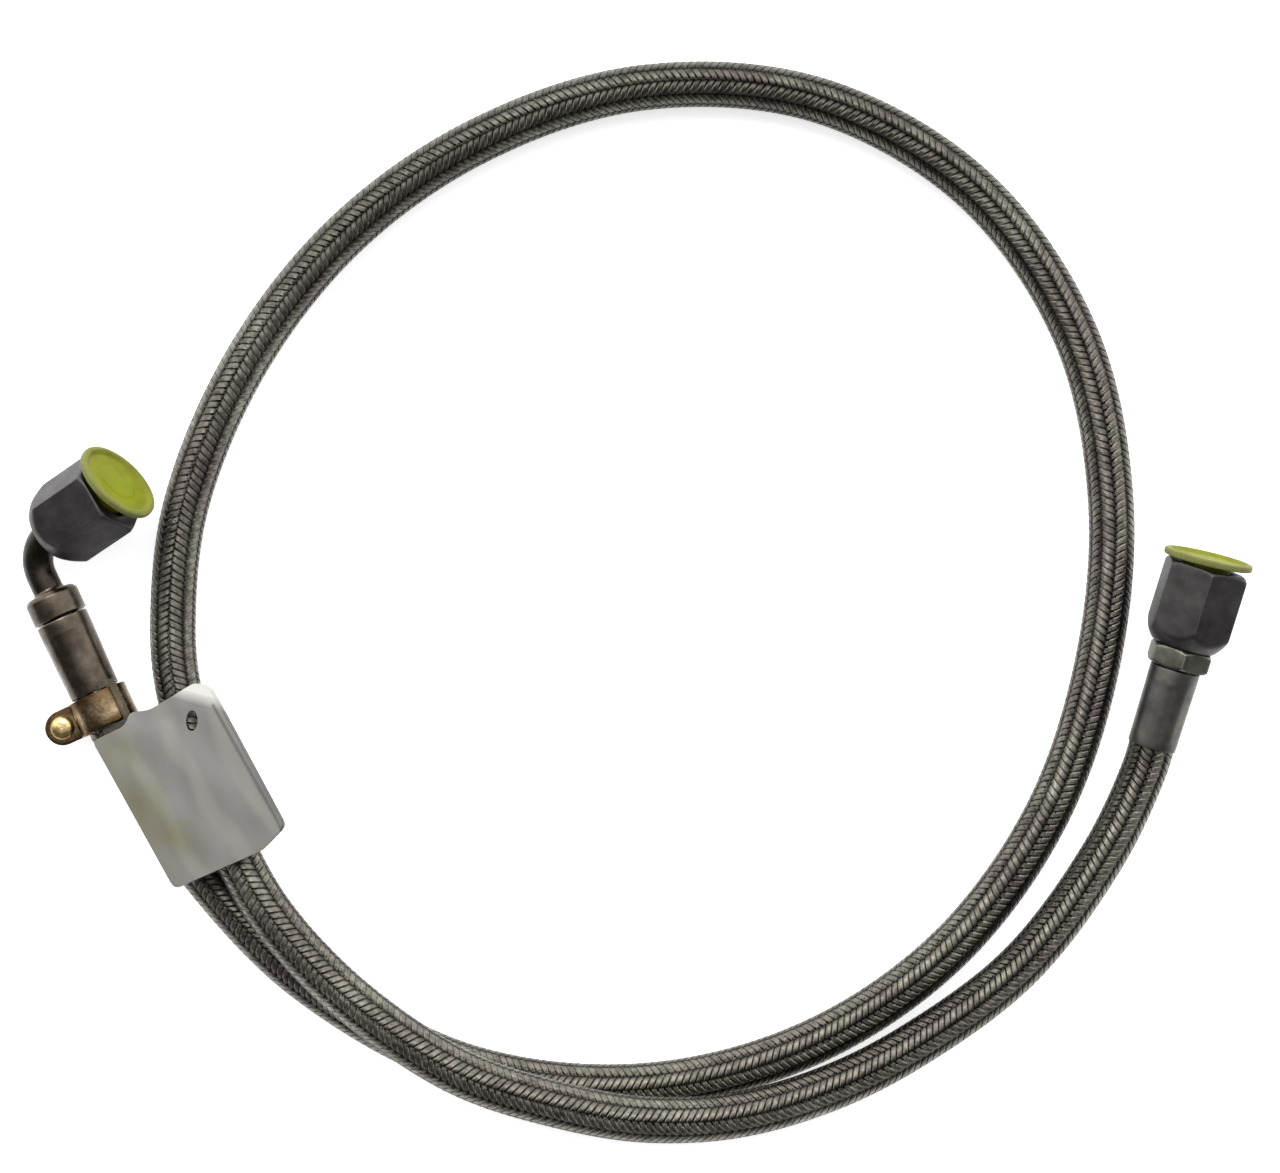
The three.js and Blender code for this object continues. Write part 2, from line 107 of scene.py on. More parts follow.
# ---------------------------------------------------------------- places in the frame, m
ELBOW_END = Vector((-0.18967, -0.00825, 0.0107))
ELBOW_AXIS = Vector((-0.4195, 0.9078, 0)).normalized()
ELBOW_NUT_AXIS = Vector((0.855, 0.519, 0.404)).normalized()
BEND_ANGLE = ELBOW_AXIS.angle(ELBOW_NUT_AXIS)
STRAIGHT_END = Vector((0.1793, -0.0271, 0.0094))
STRAIGHT_AXIS = Vector((0.268, 0.957, 0.151)).normalized()
STRAIGHT_SIDE = Vector((0.963, -0.27, 0))
POUCH_CENTRE = Vector((-0.1552, -0.0383, 0.0236))
POUCH_ACROSS = Vector((0.869, 0.494, -0.084)).normalized()
POUCH_ALONG = Vector((-0.494, 0.869, -0.134))
FLOOR = 0.00805  # height of the hose's middle where it lies on the floor
HOSE_ROUTE = [
    tuple(ELBOW_END + 0.0016 * ELBOW_AXIS),
    tuple(ELBOW_END - 0.0145 * ELBOW_AXIS),
    (-0.1673, -0.0495, 0.0092),
    (-0.1490, -0.0760, FLOOR),
    (-0.1157, -0.1094, FLOOR),
    (-0.0608, -0.1393, FLOOR),
    (0.0005, -0.1463, FLOOR),
    (0.0590, -0.1318, FLOOR),
    (0.1079, -0.0990, FLOOR),
    (0.1421, -0.0527, FLOOR),
    (0.1604, 0.0008, FLOOR),
    (0.1653, 0.0581, FLOOR),
    (0.1528, 0.1170, FLOOR),
    (0.1171, 0.1680, FLOOR),
    (0.0624, 0.1989, FLOOR),
    (0.0005, 0.2030, FLOOR),
    (-0.0561, 0.1845, FLOOR),
    (-0.1025, 0.1518, FLOOR),
    (-0.1367, 0.1083, FLOOR),
    (-0.1584, 0.0571, FLOOR),
    (-0.1630, 0.0145, 0.0082),
    (-0.1606, -0.0080, 0.0098),
    (-0.1541, -0.0272, 0.0122),
    (-0.1441, -0.0544, 0.0164),
    (-0.1300, -0.0805, 0.0204),
    (-0.1105, -0.1033, 0.0228),
    (-0.0869, -0.1230, 0.0245),
    (-0.0600, -0.1394, 0.0250),
    (-0.0309, -0.1491, 0.0246),
    (0.0005, -0.1552, 0.0225),
    (0.0328, -0.1546, 0.0190),
    (0.0639, -0.1466, 0.0160),
    (0.0938, -0.1326, 0.0126),
    (0.1334, -0.1040, 0.0094),
    (0.1630, -0.0648, FLOOR),
    tuple(STRAIGHT_END - 0.009 * STRAIGHT_AXIS),
    tuple(STRAIGHT_END + 0.0016 * STRAIGHT_AXIS),
]

# The braid is drawn darker on the far side of the loop.
DARKENING_FROM = 0.09  # Y at which that starts, m
DARKENING_OVER = 0.09  # distance over which it grows, m
DARKENING_DEPTH = 0.38
FILM_STREAKS = 3  # darker streaks along the pouch's film


# ---------------------------------------------------------------- camera
def add_camera():
    data = bpy.data.cameras.new("camera")
    data.sensor_width = 36
    data.lens = 79.7
    data.clip_start = 0.01
    camera = bpy.data.objects.new("camera", data)
    camera.location = (0.0005, 0.0285, 1.0)
    bpy.context.scene.collection.objects.link(camera)
    bpy.context.scene.camera = camera


# ---------------------------------------------------------------- placements
def place_along(origin, axis, side):
    """Millimetres in a frame whose Z is the axis and whose X is as near as it can be to side."""
    z = axis.normalized()
    y = z.cross(side).normalized()
    x = y.cross(z)
    turn = Matrix((x, y, z)).transposed().to_4x4()
    return Matrix.Translation(origin) @ turn @ Matrix.Scale(MM, 4)


def bend_point(angle):
    x = BEND_RADIUS * (1 - math.cos(angle))
    return Vector((x, 0, ELBOW_COLLAR_END + BEND_LEAD + BEND_RADIUS * math.sin(angle)))


def nut_direction():
    return Vector((math.sin(BEND_ANGLE), 0, math.cos(BEND_ANGLE)))


ELBOW = place_along(ELBOW_END, ELBOW_AXIS, ELBOW_NUT_AXIS)
ELBOW_NUT = (
    ELBOW
    @ Matrix.Translation(bend_point(BEND_ANGLE) + BEND_TO_NUT * nut_direction())
    @ Matrix.Rotation(BEND_ANGLE, 4, "Y")
)
STRAIGHT = place_along(STRAIGHT_END, STRAIGHT_AXIS, STRAIGHT_SIDE)
STRAIGHT_NUT_PLACE = STRAIGHT @ Matrix.Translation((0, 0, STRAIGHT_NUT))
BAND = place_along(ELBOW_END, -ELBOW_AXIS, Vector((0, 0, 1)).cross(-ELBOW_AXIS))
POUCH = place_along(POUCH_CENTRE, POUCH_ACROSS.cross(POUCH_ALONG), POUCH_ACROSS)


# ---------------------------------------------------------------- mesh helpers
def loft(rows, closed=True):
    """Quads between rows of points, each row a closed loop. closed joins the last row to the
    first; otherwise the first and last rows are capped."""
    rows = np.asarray(rows, float)
    count, around, _ = rows.shape
    spans = count if closed else count - 1
    i = np.arange(spans)[:, None]
    j = np.arange(around)[None, :]
    here = i * around + j
    beside = i * around + (j + 1) % around
    ahead = ((i + 1) % count) * around + j
    ahead_beside = ((i + 1) % count) * around + (j + 1) % around
    faces = np.stack([here, beside, ahead_beside, ahead], -1).reshape(-1, 4).tolist()
    if not closed:
        faces.append(list(range(around))[::-1])
        faces.append([(count - 1) * around + k for k in range(around)])
    return rows.reshape(-1, 3), faces


def mesh_object(name, points, faces, place=None, sharp=35, **attributes):
    """A smooth-shaded mesh in the model's frame; attributes hold one number for each point."""
    mesh = bpy.data.meshes.new(name)
    mesh.from_pydata(np.asarray(points, float).tolist(), [], faces)
    if place is not None:
        mesh.transform(place)
    for key, values in attributes.items():
        layer = mesh.attributes.new(key, "FLOAT", "POINT")
        layer.data.foreach_set("value", np.asarray(values, np.float32).ravel())
    mesh.shade_smooth()
    mesh.set_sharp_from_angle(angle=math.radians(sharp))
    mesh.validate()
    obj = bpy.data.objects.new(name, mesh)
    bpy.context.scene.collection.objects.link(obj)
    return obj


def add_piece(obj, material, slot, body, *nodes):
    obj.data.materials.append(material)
    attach(obj, body)
    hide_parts(*nodes)
    return obj


def rounded(profile, radius=0.25, steps=3):
    """The closed profile with each corner turned into a small curve."""
    points = [Vector(p) for p in profile]
    result = []
    for i, here in enumerate(points):
        before = points[i - 1] - here
        after = points[(i + 1) % len(points)] - here
        reach = min(radius, 0.45 * before.length, 0.45 * after.length)
        start = here + reach * before.normalized()
        end = here + reach * after.normalized()
        for k in range(steps + 1):
            t = k / steps
            result.append((1 - t) ** 2 * start + 2 * t * (1 - t) * here + t * t * end)
    return [(p.x, p.y) for p in result]


def turned_rows(profile, around=72, shape=None):
    """Rows of points about Z from (radius, height). shape(radius, height, angle) gives the radii
    of a row that isn't round."""
    angle = np.arange(around) * TAU / around
    rows = []
    for radius, height in profile:
        r = np.full(around, radius, float)
        if shape is not None:
            r = shape(r, height, angle)
        z = np.full(around, height, float)
        rows.append(np.stack([r * np.cos(angle), r * np.sin(angle), z], -1))
    return rows


# ---------------------------------------------------------------- the hose's line
def catmull_rom(points, per_span):
    """Points on the centripetal Catmull-Rom curve through the given ones."""
    p = np.array(points, float)
    p = np.vstack([2 * p[0] - p[1], p, 2 * p[-1] - p[-2]])
    curve = []
    t = (np.arange(per_span) / per_span)[:, None]
    for i in range(1, len(p) - 2):
        a, b, c, d = p[i - 1 : i + 3]
        ab, bc, cd = (np.linalg.norm(v) ** 0.5 for v in (b - a, c - b, d - c))
        m0 = ((b - a) / ab - (c - a) / (ab + bc) + (c - b) / bc) * bc
        m1 = ((c - b) / bc - (d - b) / (bc + cd) + (d - c) / cd) * bc
        curve.append(
            b
            + m0 * t
            + (3 * (c - b) - 2 * m0 - m1) * t**2
            + (2 * (b - c) + m0 + m1) * t**3
        )
    return np.vstack([*curve, p[-2][None]])


class HoseLine:
    """The hose's centre line by distance along it, with directions that don't twist about it."""

    def __init__(self, points, spacing=0.0005):
        raw = catmull_rom(points, 120)
        reach = np.concatenate(
            [[0], np.cumsum(np.linalg.norm(np.diff(raw, axis=0), axis=1))]
        )
        self.length = float(reach[-1])
        self.s = np.linspace(0, self.length, int(self.length / spacing) + 1)
        self.centre = np.stack(
            [np.interp(self.s, reach, raw[:, k]) for k in range(3)], -1
        )
        tangent = np.gradient(self.centre, self.s, axis=0)
        tangent /= np.linalg.norm(tangent, axis=1)[:, None]
        up = np.zeros_like(tangent)
        v = np.array([0.0, 0.0, 1.0])
        for i, t in enumerate(tangent):
            v = v - t * v.dot(t)
            v /= np.linalg.norm(v)
            up[i] = v
        self.up = up
        self.side = np.cross(tangent, up)

    def surface(self, s, angle, radius):
        """Points at distances s along the line, at angles about it and radii from it."""
        s = np.clip(s, 0, self.length)
        centre, up, side = (
            np.stack([np.interp(s, self.s, field[:, k]) for k in range(3)], -1)
            for field in (self.centre, self.up, self.side)
        )
        spread = np.cos(angle)[..., None] * up + np.sin(angle)[..., None] * side
        return centre + radius[..., None] * spread


HOSE = HoseLine(HOSE_ROUTE)


# ---------------------------------------------------------------- material helpers
class Look:
    """A node material being put together around one Principled shader."""

    def __init__(self, name, **constants):
        self.material = bpy.data.materials.new(name)
        self.material.use_nodes = True
        self.nodes = self.material.node_tree.nodes
        self.links = self.material.node_tree.links
        self.shader = self.nodes["Principled BSDF"]
        for socket, value in constants.items():
            self.shader.inputs[socket.replace("_", " ")].default_value = value
        self.place = self.nodes.new("ShaderNodeTexCoord").outputs["Object"]

    def set(self, socket, source):
        self.links.new(source, self.shader.inputs[socket])

    def attribute(self, name):
        node = self.nodes.new("ShaderNodeAttribute")
        node.attribute_name = name
        return node.outputs["Fac"]

    def noise(self, scale, detail=3.0, roughness=0.55):
        node = self.nodes.new("ShaderNodeTexNoise")
        node.inputs["Scale"].default_value = scale
        node.inputs["Detail"].default_value = detail
        node.inputs["Roughness"].default_value = roughness
        self.links.new(self.place, node.inputs["Vector"])
        return node.outputs["Fac"]

    def ramp(self, source, *stops):
        """stops are (position, colour); a colour may be one grey number."""
        node = self.nodes.new("ShaderNodeValToRGB")
        ramp = node.color_ramp
        for k, (position, colour) in enumerate(stops):
            element = ramp.elements[k] if k < 2 else ramp.elements.new(position)
            element.position = position
            if isinstance(colour, (int, float)):
                colour = (colour,) * 3
            element.color = (*colour, 1)
        self.links.new(source, node.inputs["Fac"])
        return node.outputs["Color"]

    def math(self, operation, first, second=0.0, third=0.0):
        node = self.nodes.new("ShaderNodeMath")
        node.operation = operation
        for socket, value in zip(node.inputs, (first, second, third)):
            if isinstance(value, (int, float)):
                socket.default_value = value
            else:
                self.links.new(value, socket)
        return node.outputs["Value"]

    def mix(self, factor, first, second, blend="MIX"):
        node = self.nodes.new("ShaderNodeMix")
        node.data_type = "RGBA"
        node.blend_type = blend
        for index, value in ((0, factor), (6, first), (7, second)):
            socket = node.inputs[index]
            if isinstance(value, (int, float)):
                socket.default_value = value
            elif isinstance(value, tuple):
                socket.default_value = (*value, 1)
            else:
                self.links.new(value, socket)
        return node.outputs[2]

    def bump(self, height, distance, strength=1.0):
        node = self.nodes.new("ShaderNodeBump")
        node.inputs["Distance"].default_value = distance
        node.inputs["Strength"].default_value = strength
        self.links.new(height, node.inputs["Height"])
        self.set("Normal", node.outputs["Normal"])


def metal_look(name, dark, middle, light, roughness, patch=120, wear=None):
    """Metal with cloudy stains, a fine grain and, where the piece has it, a lighter worn edge."""
    look = Look(name, Metallic=1.0)
    clouds = look.noise(patch, 5, 0.6)
    colour = look.ramp(clouds, (0.3, dark), (0.5, middle), (0.72, light))
    if wear is not None:
        edge = look.ramp(look.attribute("edge"), (0.55, 0.0), (1.0, 1.0))
        colour = look.mix(edge, colour, wear)
    look.set("Base Color", colour)
    grain = look.noise(2600, 2, 0.5)
    spread = look.math("MULTIPLY_ADD", look.noise(700, 3), 0.22, roughness - 0.11)
    look.set("Roughness", spread)
    look.bump(grain, 0.00006, 0.5)
    return look.material


def braid_look():
    """Stainless wires laid side by side in each carrier, with painted shade where the carriers dive
    and a painted highlight on their crowns.
    """
    look = Look("braided_steel", Metallic=1.0)
    steel = look.ramp(
        look.noise(32, 5, 0.6),
        (0.34, (0.086, 0.074, 0.070)),
        (0.5, (0.100, 0.094, 0.077)),
        (0.66, (0.127, 0.122, 0.102)),
    )
    glint = look.ramp(look.noise(420, 2, 0.6), (0.35, 0.68), (0.62, 1.4))
    steel = look.mix(1.0, steel, glint, "MULTIPLY")
    # Painted shade where the carriers dive under the others, and a painted highlight on their
    # crowns.
    painted_dive_shade_crown_light = look.ramp(look.attribute("height"), (0.50, 0.12), (0.97, 1.40))
    steel = look.mix(1.0, steel, painted_dive_shade_crown_light, "MULTIPLY")
    steel = look.mix(1.0, steel, look.attribute("tone"), "MULTIPLY")
    across = look.math("MULTIPLY", look.attribute("across"), WIRES * math.pi)
    wires = look.math("ABSOLUTE", look.math("SINE", across))
    # Painted shade in the grooves between the wires.
    painted_wire_groove_shade = look.ramp(wires, (0.0, 0.8), (0.5, 1.0))
    look.set("Base Color", look.mix(1.0, steel, painted_wire_groove_shade, "MULTIPLY"))
    look.set("Roughness", look.math("MULTIPLY_ADD", look.noise(300, 3), 0.25, 0.22))
    look.bump(wires, 0.00008, 0.6)
    return look.material


def liner_look():
    look = Look("hose_liner", Roughness=0.6)
    look.set("Base Color", look.ramp(look.noise(200), (0.3, 0.012), (0.7, 0.035)))
    return look.material


def seal_look():
    look = Look("seal_rubber", Roughness=0.55)
    look.set("Base Color", look.ramp(look.noise(900), (0.3, 0.008), (0.7, 0.02)))
    look.bump(look.noise(3000), 0.00004, 0.5)
    return look.material


def plug_look():
    """Translucent moulded plastic, deep yellow-green in the middle, with painted light making it
    pale at the rim.
    """
    look = Look("plug_plastic", Roughness=0.5, Subsurface_Weight=0.1, Subsurface_Scale=0.002)
    look.shader.inputs["Specular IOR Level"].default_value = 0.08
    # Paler towards the rim: painted light on the flange's rim.
    colour = look.ramp(
        look.attribute("radial"),
        (0.0, (0.160, 0.195, 0.002)),
        (0.62, (0.172, 0.192, 0.003)),
        (0.86, (0.170, 0.180, 0.020)),
        (1.0, (0.165, 0.170, 0.055)),
    )
    clouds = look.ramp(look.noise(160, 4), (0.3, 0.82), (0.7, 1.12))
    look.set("Base Color", look.mix(1.0, colour, clouds, "MULTIPLY"))
    look.bump(look.noise(700, 4), 0.00015, 0.35)
    return look.material


def brass_look(name, dark, middle, light):
    """Brass with painted shade, in dark brown, towards its edges."""
    look = Look(name, Metallic=1.0)
    clouds = look.ramp(look.noise(260, 5, 0.6), (0.3, dark), (0.5, middle), (0.7, light))
    # Painted shade: the colour darkens to brown towards the edges.
    edge = look.ramp(look.attribute("edge"), (0.35, 0.0), (0.9, 0.85))
    look.set("Base Color", look.mix(edge, clouds, (0.070, 0.035, 0.012)))
    look.set("Roughness", look.math("MULTIPLY_ADD", look.noise(500, 3), 0.22, 0.16))
    look.bump(look.noise(900, 4), 0.0002, 0.5)
    return look.material


def film_look(name, alpha, tint, stain):
    """Plastic film with yellow-green stains towards the band's side and a painted highlight at one
    corner.
    """
    look = Look(name, Roughness=0.26, Coat_Weight=0.3, Coat_Roughness=0.12)
    clouds = look.math("ADD", look.attribute("across"), look.noise(45, 1))
    spread = look.ramp(clouds, (0.42, 1.0), (0.85, 0.0))
    colour = look.mix(spread, tint, stain)
    bands = look.math("MULTIPLY", look.attribute("across"), FILM_STREAKS * TAU)
    wander = look.math("MULTIPLY_ADD", look.noise(30, 1), 6.0, bands)
    streaks = look.ramp(
        look.math("SINE", wander),
        (0.0, (0.86, 0.84, 0.86)),
        (0.9, (1.06, 1.06, 1.04)),
    )
    colour = look.mix(1.0, colour, streaks, "MULTIPLY")
    # Painted highlight: pale and opaque towards one corner.
    painted_corner_highlight = look.ramp(look.attribute("corner"), (0.25, 0.0), (0.95, 1.0))
    colour = look.mix(painted_corner_highlight, colour, (0.51, 0.495, 0.465))
    # Painted shade: a dark line along the edge of an inner layer under the film.
    seam = look.attribute("seam")
    colour = look.mix(seam, colour, (0.035, 0.035, 0.032))
    look.set("Base Color", colour)
    cover = look.math("MAXIMUM", look.math("MAXIMUM", painted_corner_highlight, seam), alpha)
    look.set("Alpha", cover)
    look.bump(look.noise(45, 1), 0.0006, 0.3)
    return look.material


def card_look():
    """Grey card with faint broken rules along it, like a blank form."""
    look = Look("label_card", Roughness=0.75)
    paper = look.ramp(
        look.noise(60, 5, 0.6),
        (0.3, (0.125, 0.117, 0.109)),
        (0.7, (0.167, 0.161, 0.147)),
    )
    rows = look.math("SINE", look.math("MULTIPLY", look.attribute("across"), TAU * 5.5))
    lines = look.ramp(rows, (0.55, 0.0), (0.95, 1.0))
    breaks = look.ramp(look.noise(75, 3, 0.6), (0.42, 0.0), (0.6, 1.0))
    rules = look.math("MULTIPLY", look.math("MULTIPLY", lines, breaks), 0.5)
    look.set("Base Color", look.mix(rules, paper, (0.085, 0.078, 0.082)))
    look.bump(look.noise(2400, 3), 0.00005, 0.4)
    return look.material


# ---------------------------------------------------------------- hose
def hose_liner(material):
    """The inner tube, along the hose's whole length and line."""
    stations = np.linspace(0, HOSE.length, 780)
    sides = 28
    angle = np.arange(sides) * TAU / sides
    rows = []
    for radius, order in ((LINER_OUTER, stations), (LINER_INNER, stations[::-1])):
        s = np.repeat(order[:, None], sides, 1)
        turn = np.repeat(angle[None, :], len(order), 0)
        rows.append(HOSE.surface(s, turn, np.full(s.shape, radius * MM)))
    points, faces = loft(np.vstack(rows))
    obj = mesh_object("hose_inner_tube", points, faces)
    add_piece(obj, material, "liner", "hose", "hose_liner")
    centre = [np.interp(stations, HOSE.s, HOSE.centre[:, k]) for k in range(3)]
    return obj, np.stack(centre, -1).tolist()


def carrier_wave(angle):
    """Near +1 where this family of carriers is on top and near -1 where it is underneath."""
    return np.tanh(1.4 * np.sin(angle * CARRIERS / 2)) / math.tanh(1.4)


def braid_family(name, turn, material):
    """The carriers that wind one way, two over and two under those that wind the other way."""
    count = int(HOSE.length / (BRAID_STEP * MM))
    s = np.linspace(0, HOSE.length, count + 1)[None, :, None]
    pitch_angle = math.atan(TAU * BRAID_MIDDLE / BRAID_LAY)
    across = np.array([-1.0, -0.45, 0.45, 1.0])[None, None, :]
    crown = np.array([0.0, 1.0, 1.0, 0.0])[None, None, :]
    start = np.arange(CARRIERS)[:, None, None] * TAU / CARRIERS
    if turn < 0:
        start = start + TAU / (2 * CARRIERS)
    offset = across * CARRIER_WIDTH / 2
    round_hose = offset * math.cos(pitch_angle) / BRAID_MIDDLE
    angle = start + turn * TAU * s / (BRAID_LAY * MM) + round_hose
    along = s - turn * offset * MM * math.sin(pitch_angle) + 0 * angle
    wave = turn * carrier_wave(angle)
    radius = BRAID_MIDDLE + BRAID_WAVE * wave + BRAID_CROWN * crown
    grid = HOSE.surface(along, angle, radius * MM)
    height = 0.5 + 0.5 * wave
    # Darker towards +Y, on the far side of the loop.
    far_darkening = np.clip((grid[..., 1] - DARKENING_FROM) / DARKENING_OVER, 0, 1)
    points, faces = [], []
    for carrier in range(CARRIERS):
        more, quads = loft(grid[carrier], closed=False)
        base = carrier * len(more)
        points.append(more)
        faces += [[base + k for k in quad] for quad in quads]
    spread = np.broadcast_to(across, angle.shape)
    obj = mesh_object(
        name,
        np.vstack(points),
        faces,
        sharp=180,
        height=height,
        across=0.5 * spread,
        tone=1 - DARKENING_DEPTH * far_darkening,
    )
    return add_piece(obj, material, "braid", "hose", "hose_braid")


def build_hose(looks):
    liner, path = hose_liner(looks["liner"])
    right = braid_family("braid_right_hand", 1, looks["braid"])
    left = braid_family("braid_left_hand", -1, looks["braid"])
    for node in ("elbow_hose_end", "straight_hose_end"):
        dress_node(node, looks["braid_end"])
    return liner, path, [right, left]


def dress_node(node, material):
    """The CAD node keeps its shape and gets this material."""
    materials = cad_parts[node].data.materials
    for k in range(len(materials)):
        materials[k] = material


# ---------------------------------------------------------------- sleeves and inserts
def crimped_sleeve(name, length, radii, place, material, slot, node):
    """A sleeve crimped by eight dies, whose marks stop short of both ends."""
    hose_radius, collar_radius = radii
    lip = length - FERRULE_LIP
    outline = rounded(
        [
            (FERRULE_BORE, 0),
            (hose_radius, 0),
            (collar_radius, length - 5),
            (collar_radius, length),
            (NECK_RADIUS + GAP, length),
            (NECK_RADIUS + GAP, lip),
            (FERRULE_BORE, lip),
        ],
        0.45,
        4,
    )
    profile = split_long(outline, 1.2)

    def crimp(radius, height, angle):
        if radius[0] < hose_radius - 0.6:
            return radius
        near, far = (height - 3) / 1.5, (length - 5 - height) / 1.5
        inside = min(1, max(0, near)) * min(1, max(0, far))
        return radius - 0.16 * inside * (0.5 + 0.5 * np.cos(8 * angle)) ** 2

    rows = turned_rows(profile, 96, crimp)
    points, faces = loft(rows)
    edge = np.repeat([edge_at(h, length) for _, h in profile], 96)
    obj = mesh_object(name, points, faces, place, edge=edge)
    return add_piece(obj, material, slot, "hose", node)


def edge_at(height, length, reach=1.6):
    """1 at either end of a length, falling to 0 a little way in."""
    return max(0.0, 1 - min(height, length - height) / reach)


def split_long(profile, step):
    """The closed profile with its long straight runs divided."""
    result = []
    for i, here in enumerate(profile):
        after = profile[(i + 1) % len(profile)]
        parts = max(1, int(math.dist(here, after) / step))
        for k in range(parts):
            t = k / parts
            result.append(tuple(a + t * (b - a) for a, b in zip(here, after)))
    return result


def tail_profile(ferrule_length):
    """Outer half of the barbed tail and its neck, from the hose end to the collar's face."""
    profile = [(TAIL_BORE, 1.5), (5.65, 1.5)]
    barbs = 3
    pitch = (ferrule_length - 6) / barbs
    for i in range(barbs):
        profile.append((5.85, 2 + i * pitch))
        profile.append((6.4, 2 + (i + 0.8) * pitch))
    profile.append((6.15, ferrule_length - 3))
    profile.append((NECK_RADIUS, ferrule_length - FERRULE_LIP))
    return profile


def elbow_insert(material):
    """Barbed tail inside the sleeve and the round collar that the tube is brazed into."""
    outline = [
        *tail_profile(ELBOW_FERRULE),
        (NECK_RADIUS, ELBOW_COLLAR),
        (ELBOW_COLLAR_RADIUS, ELBOW_COLLAR),
        (ELBOW_COLLAR_RADIUS, ELBOW_COLLAR_END - 1.5),
        (ELBOW_COLLAR_RADIUS - 1.2, ELBOW_COLLAR_END),
        (TUBE_OUTER + 0.05, ELBOW_COLLAR_END),
        (TUBE_OUTER + 0.05, ELBOW_COLLAR_END - COLLAR_SOCKET),
        (TAIL_BORE, ELBOW_COLLAR_END - COLLAR_SOCKET),
    ]
    profile = rounded(outline, 0.5, 4)
    points, faces = loft(turned_rows(profile, 96))
    edge = [
        edge_at(h - ELBOW_COLLAR, ELBOW_COLLAR_END - ELBOW_COLLAR) if r > 8 else 0
        for r, h in profile
    ]
    obj = mesh_object("elbow_collar", points, faces, ELBOW, edge=np.repeat(edge, 96))
    return add_piece(obj, material, "warm_steel", "hose", "elbow_insert")


def swept_rows(stations, radius, sides=40):
    """Circles of a tube about (centre, direction) stations in the local XZ plane."""
    angle = np.arange(sides) * TAU / sides
    rows = []
    for centre, direction in stations:
        across = np.array([direction.z, 0, -direction.x])
        ring = np.outer(np.cos(angle), across) + np.outer(np.sin(angle), (0, 1, 0))
        rows.append(np.array(centre) + radius * ring)
    return rows


def elbow_tube(material):
    stations = [
        (Vector((0, 0, ELBOW_COLLAR_END - COLLAR_SOCKET + GAP)), Vector((0, 0, 1))),
        (Vector((0, 0, ELBOW_COLLAR_END + BEND_LEAD)), Vector((0, 0, 1))),
    ]
    steps = 28
    for i in range(1, steps + 1):
        angle = i / steps * BEND_ANGLE
        stations.append((bend_point(angle), Vector((math.sin(angle), 0, math.cos(angle)))))
    run = BEND_TO_NUT + NIPPLE_SOCKET - 0.3
    stations.append((stations[-1][0] + run * nut_direction(), nut_direction()))
    rows = swept_rows(stations, TUBE_OUTER) + swept_rows(stations[::-1], TUBE_INNER)
    points, faces = loft(rows)
    obj = mesh_object("bent_tube", points, faces, ELBOW, edge=np.zeros(len(points)))
    return add_piece(obj, material, "warm_steel", "hose", "elbow_tube")


def braze_ring(material):
    """The small fillet of filler between the collar and the tube."""
    size = 1.2
    inner = TUBE_OUTER - 0.1
    outer = TUBE_OUTER + size + 0.1
    profile = [(inner, ELBOW_COLLAR_END - 0.2), (outer + 0.1, ELBOW_COLLAR_END - 0.1)]
    for k in range(7):
        t = k / 6 * math.pi / 2
        height = size * (1 - math.cos(t))
        profile.append((outer - size * math.sin(t), ELBOW_COLLAR_END + height))
    profile.append((inner, ELBOW_COLLAR_END + size + 0.1))
    points, faces = loft(turned_rows(profile, 72))
    obj = mesh_object("braze_fillet", points, faces, ELBOW, edge=np.zeros(len(points)))
    return add_piece(obj, material, "warm_steel", "hose")


def hex_radius(angle, across_flats, flat_up):
    """Distance from the axis to a hexagon's side; a flat or a corner looks along local Y."""
    turn = 0 if flat_up else math.pi / 6
    folded = np.mod(angle - math.pi / 2 - turn + math.pi / 6, math.pi / 3) - math.pi / 6
    return across_flats / 2 / np.cos(folded)


def soft_min(a, b, blend):
    return (a + b - np.sqrt((a - b) ** 2 + blend * blend)) / 2


def straight_insert(material):
    """Barbed tail, six-sided collar and the spigot on which the nut turns."""
    collar_end = STRAIGHT_COLLAR + STRAIGHT_COLLAR_LENGTH
    spigot_end = STRAIGHT_NUT + NIPPLE_SOCKET - 0.3
    outline = [
        *tail_profile(STRAIGHT_FERRULE),
        (NECK_RADIUS, STRAIGHT_COLLAR),
        (10.3, STRAIGHT_COLLAR),
        (11.6, STRAIGHT_COLLAR + 1),
        (11.6, collar_end - 1),
        (10.3, collar_end),
        (TUBE_OUTER, collar_end),
        (TUBE_OUTER, spigot_end),
        (TAIL_BORE, spigot_end),
    ]
    profile = split_long(rounded(outline, 0.2, 2), 0.8)

    def collar(radius, height, angle):
        if radius[0] < 9 or not STRAIGHT_COLLAR - 0.01 <= height <= collar_end + 0.01:
            return radius
        side = hex_radius(angle, STRAIGHT_COLLAR_FLATS, False)
        return soft_min(side, radius, 0.25)

    points, faces = loft(turned_rows(profile, 144, collar))
    angle = np.arange(144) * TAU / 144
    side = hex_radius(angle, STRAIGHT_COLLAR_FLATS, False)
    corner = (side - side.min()) / (side.max() - side.min())
    edge = np.concatenate([corner**3 * (1 if r > 9 else 0) for r, _ in profile])
    obj = mesh_object("straight_collar", points, faces, STRAIGHT, edge=edge)
    return add_piece(obj, material, "grey_steel", "hose", "straight_insert")


# ---------------------------------------------------------------- swivel nuts
def nut_envelope(height):
    """Radius of the turned limit around the hexagon: a rounded back and a chamfered mouth."""
    reach = NUT_FLATS / math.sqrt(3) + 0.5
    heights = (0, 1.2, 3, NUT_BACK_TAPER, NUT_LENGTH - 1.6, NUT_LENGTH)
    back = (NUT_BACK_RADIUS - 0.3, NUT_BACK_RADIUS + 0.8, NUT_BACK_RADIUS + 2.2)
    radii = (*back, reach, reach, reach - 1.9)
    return np.interp(height, heights, radii)


